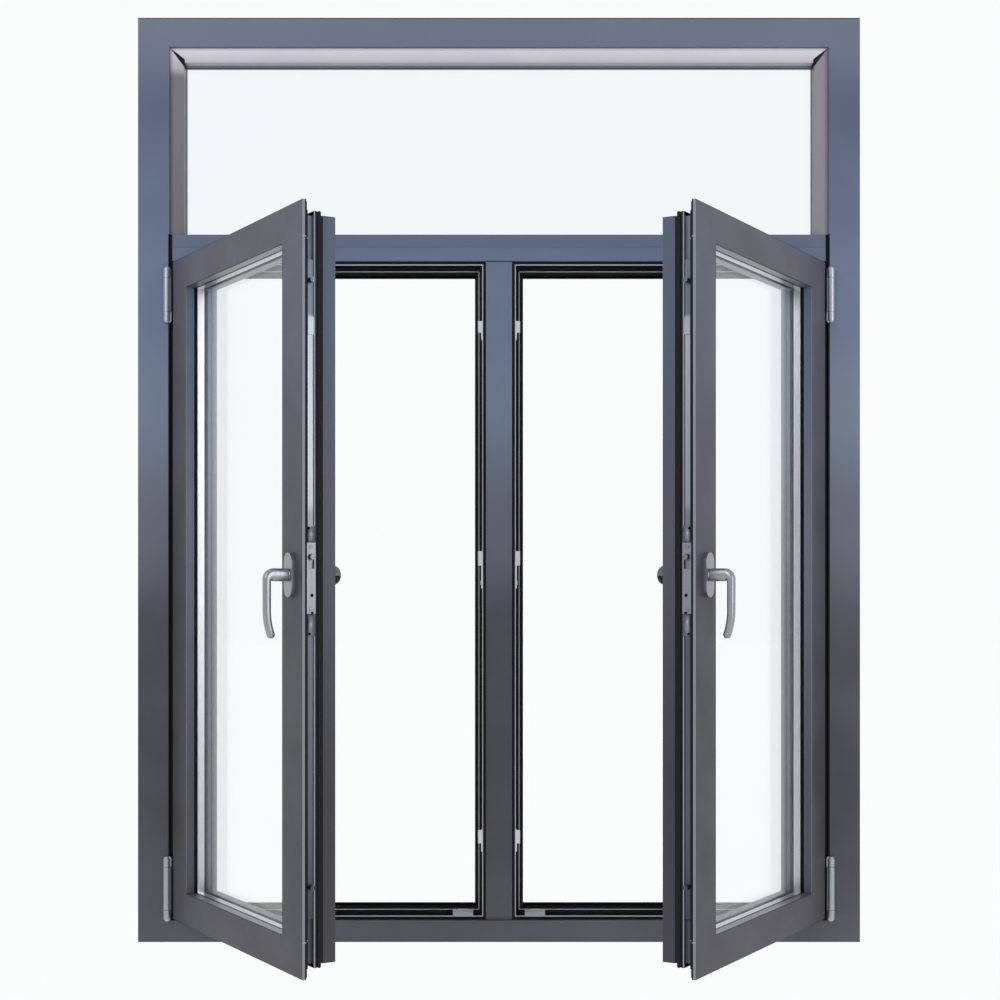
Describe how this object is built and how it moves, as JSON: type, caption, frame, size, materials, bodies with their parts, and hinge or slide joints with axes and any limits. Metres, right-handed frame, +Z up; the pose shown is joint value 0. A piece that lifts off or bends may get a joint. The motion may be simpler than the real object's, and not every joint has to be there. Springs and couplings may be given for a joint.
{
  "type": "casement window",
  "caption": "Twin inward-opening casement window with fixed top light, mullion, insulating glass, lever handles, locking rods and barrel hinges, modelled standing open.",
  "frame": {"origin": "middle of the sill's underside, on the line of the fixing holes, 19.5 mm behind the room face of the frame", "axes": "+Z up, +Y from the room to the weather side, +X to the right seen from the room"},
  "size_m": [1.25, 0.5372, 1.6],
  "materials": {
    "frame_paint": "satin powder coat, blue-grey",
    "sash_paint": "satin powder coat, blue-grey",
    "polyamide": "matte, glass-filled",
    "cleat_metal": "die-cast",
    "gasket_rubber": "matte",
    "clear_glass": "clear",
    "spacer_metal": "mill",
    "hardware_metal": "satin",
    "hinge_metal": "satin",
    "handle_metal": "satin anodised",
    "knob_metal": "satin",
    "rod_metal": "satin anodised",
    "screw_steel": "zinc-plated"
  },
  "bodies": {
    "frame": {"frame_head": "frame_paint", "frame_jamb_left": "frame_paint", "frame_jamb_right": "frame_paint", "frame_sill": "frame_paint", "transom": "frame_paint", "mullion": "frame_paint", "frame_thermal_breaks": "polyamide", "frame_cleats": "cleat_metal", "frame_gaskets": "gasket_rubber", "toplight_room_pane": "clear_glass", "toplight_weather_pane": "clear_glass", "toplight_spacer": "spacer_metal", "toplight_beads": "frame_paint", "keeps": "hardware_metal", "support_blocks": "hardware_metal", "frame_screws": "screw_steel", "hinge_frame_leaves": "hinge_metal", "hinge_pins": "screw_steel"},
    "left_sash": {"left_lock_stile": "sash_paint", "left_hinge_stile": "sash_paint", "left_top_rail": "sash_paint", "left_bottom_rail": "sash_paint", "left_thermal_breaks": "polyamide", "left_corner_cleats": "cleat_metal", "left_room_pane": "clear_glass", "left_weather_pane": "clear_glass", "left_spacer": "spacer_metal", "left_beads": "sash_paint", "left_glazing_gaskets": "gasket_rubber", "left_overlap_gasket": "gasket_rubber", "left_hinge_leaves": "hinge_metal", "left_handle_base": "handle_metal", "left_gearbox": "hardware_metal", "left_screws": "screw_steel"},
    "left_handle": {"left_handle_lever": "handle_metal", "left_spindle": "screw_steel", "left_outside_knob": "knob_metal"},
    "left_drive": {"left_drive_rods": "rod_metal", "left_lock_cams": "screw_steel"},
    "right_sash": {"right_lock_stile": "sash_paint", "right_hinge_stile": "sash_paint", "right_top_rail": "sash_paint", "right_bottom_rail": "sash_paint", "right_thermal_breaks": "polyamide", "right_corner_cleats": "cleat_metal", "right_room_pane": "clear_glass", "right_weather_pane": "clear_glass", "right_spacer": "spacer_metal", "right_beads": "sash_paint", "right_glazing_gaskets": "gasket_rubber", "right_overlap_gasket": "gasket_rubber", "right_hinge_leaves": "hinge_metal", "right_handle_base": "handle_metal", "right_gearbox": "hardware_metal", "right_screws": "screw_steel"},
    "right_handle": {"right_handle_lever": "handle_metal", "right_spindle": "screw_steel", "right_outside_knob": "knob_metal"},
    "right_drive": {"right_drive_rods": "rod_metal", "right_lock_cams": "screw_steel"}
  },
  "joints": [
    {"name": "left_sash_swing", "type": "hinge", "parent": "frame", "child": "left_sash", "pos_m": [-0.573, -0.027, 0], "axis": [0, 0, -1], "range_deg": [-59, 31]},
    {"name": "left_handle_turn", "type": "hinge", "parent": "left_sash", "child": "left_handle", "pos_m": [-0.3039, -0.46029, 0.63], "axis": [0.8572, 0.515, 0], "range_deg": [0, 90]},
    {"name": "left_drive_slide", "type": "slide", "parent": "left_sash", "child": "left_drive", "axis": [0, 0, -1], "range_m": [0, 0.0126]},
    {"name": "right_sash_swing", "type": "hinge", "parent": "frame", "child": "right_sash", "pos_m": [0.573, -0.027, 0], "axis": [0, 0, 1], "range_deg": [-59, 31]},
    {"name": "right_handle_turn", "type": "hinge", "parent": "right_sash", "child": "right_handle", "pos_m": [0.3039, -0.46029, 0.63], "axis": [0.8572, -0.515, 0], "range_deg": [0, 90]},
    {"name": "right_drive_slide", "type": "slide", "parent": "right_sash", "child": "right_drive", "axis": [0, 0, -1], "range_m": [0, 0.0126]}
  ],
  "couplings": [
    {"joint": "left_drive_slide", "follows": "left_handle_turn", "m_per_rad": 0.008},
    {"joint": "right_drive_slide", "follows": "right_handle_turn", "m_per_rad": 0.008}
  ]
}
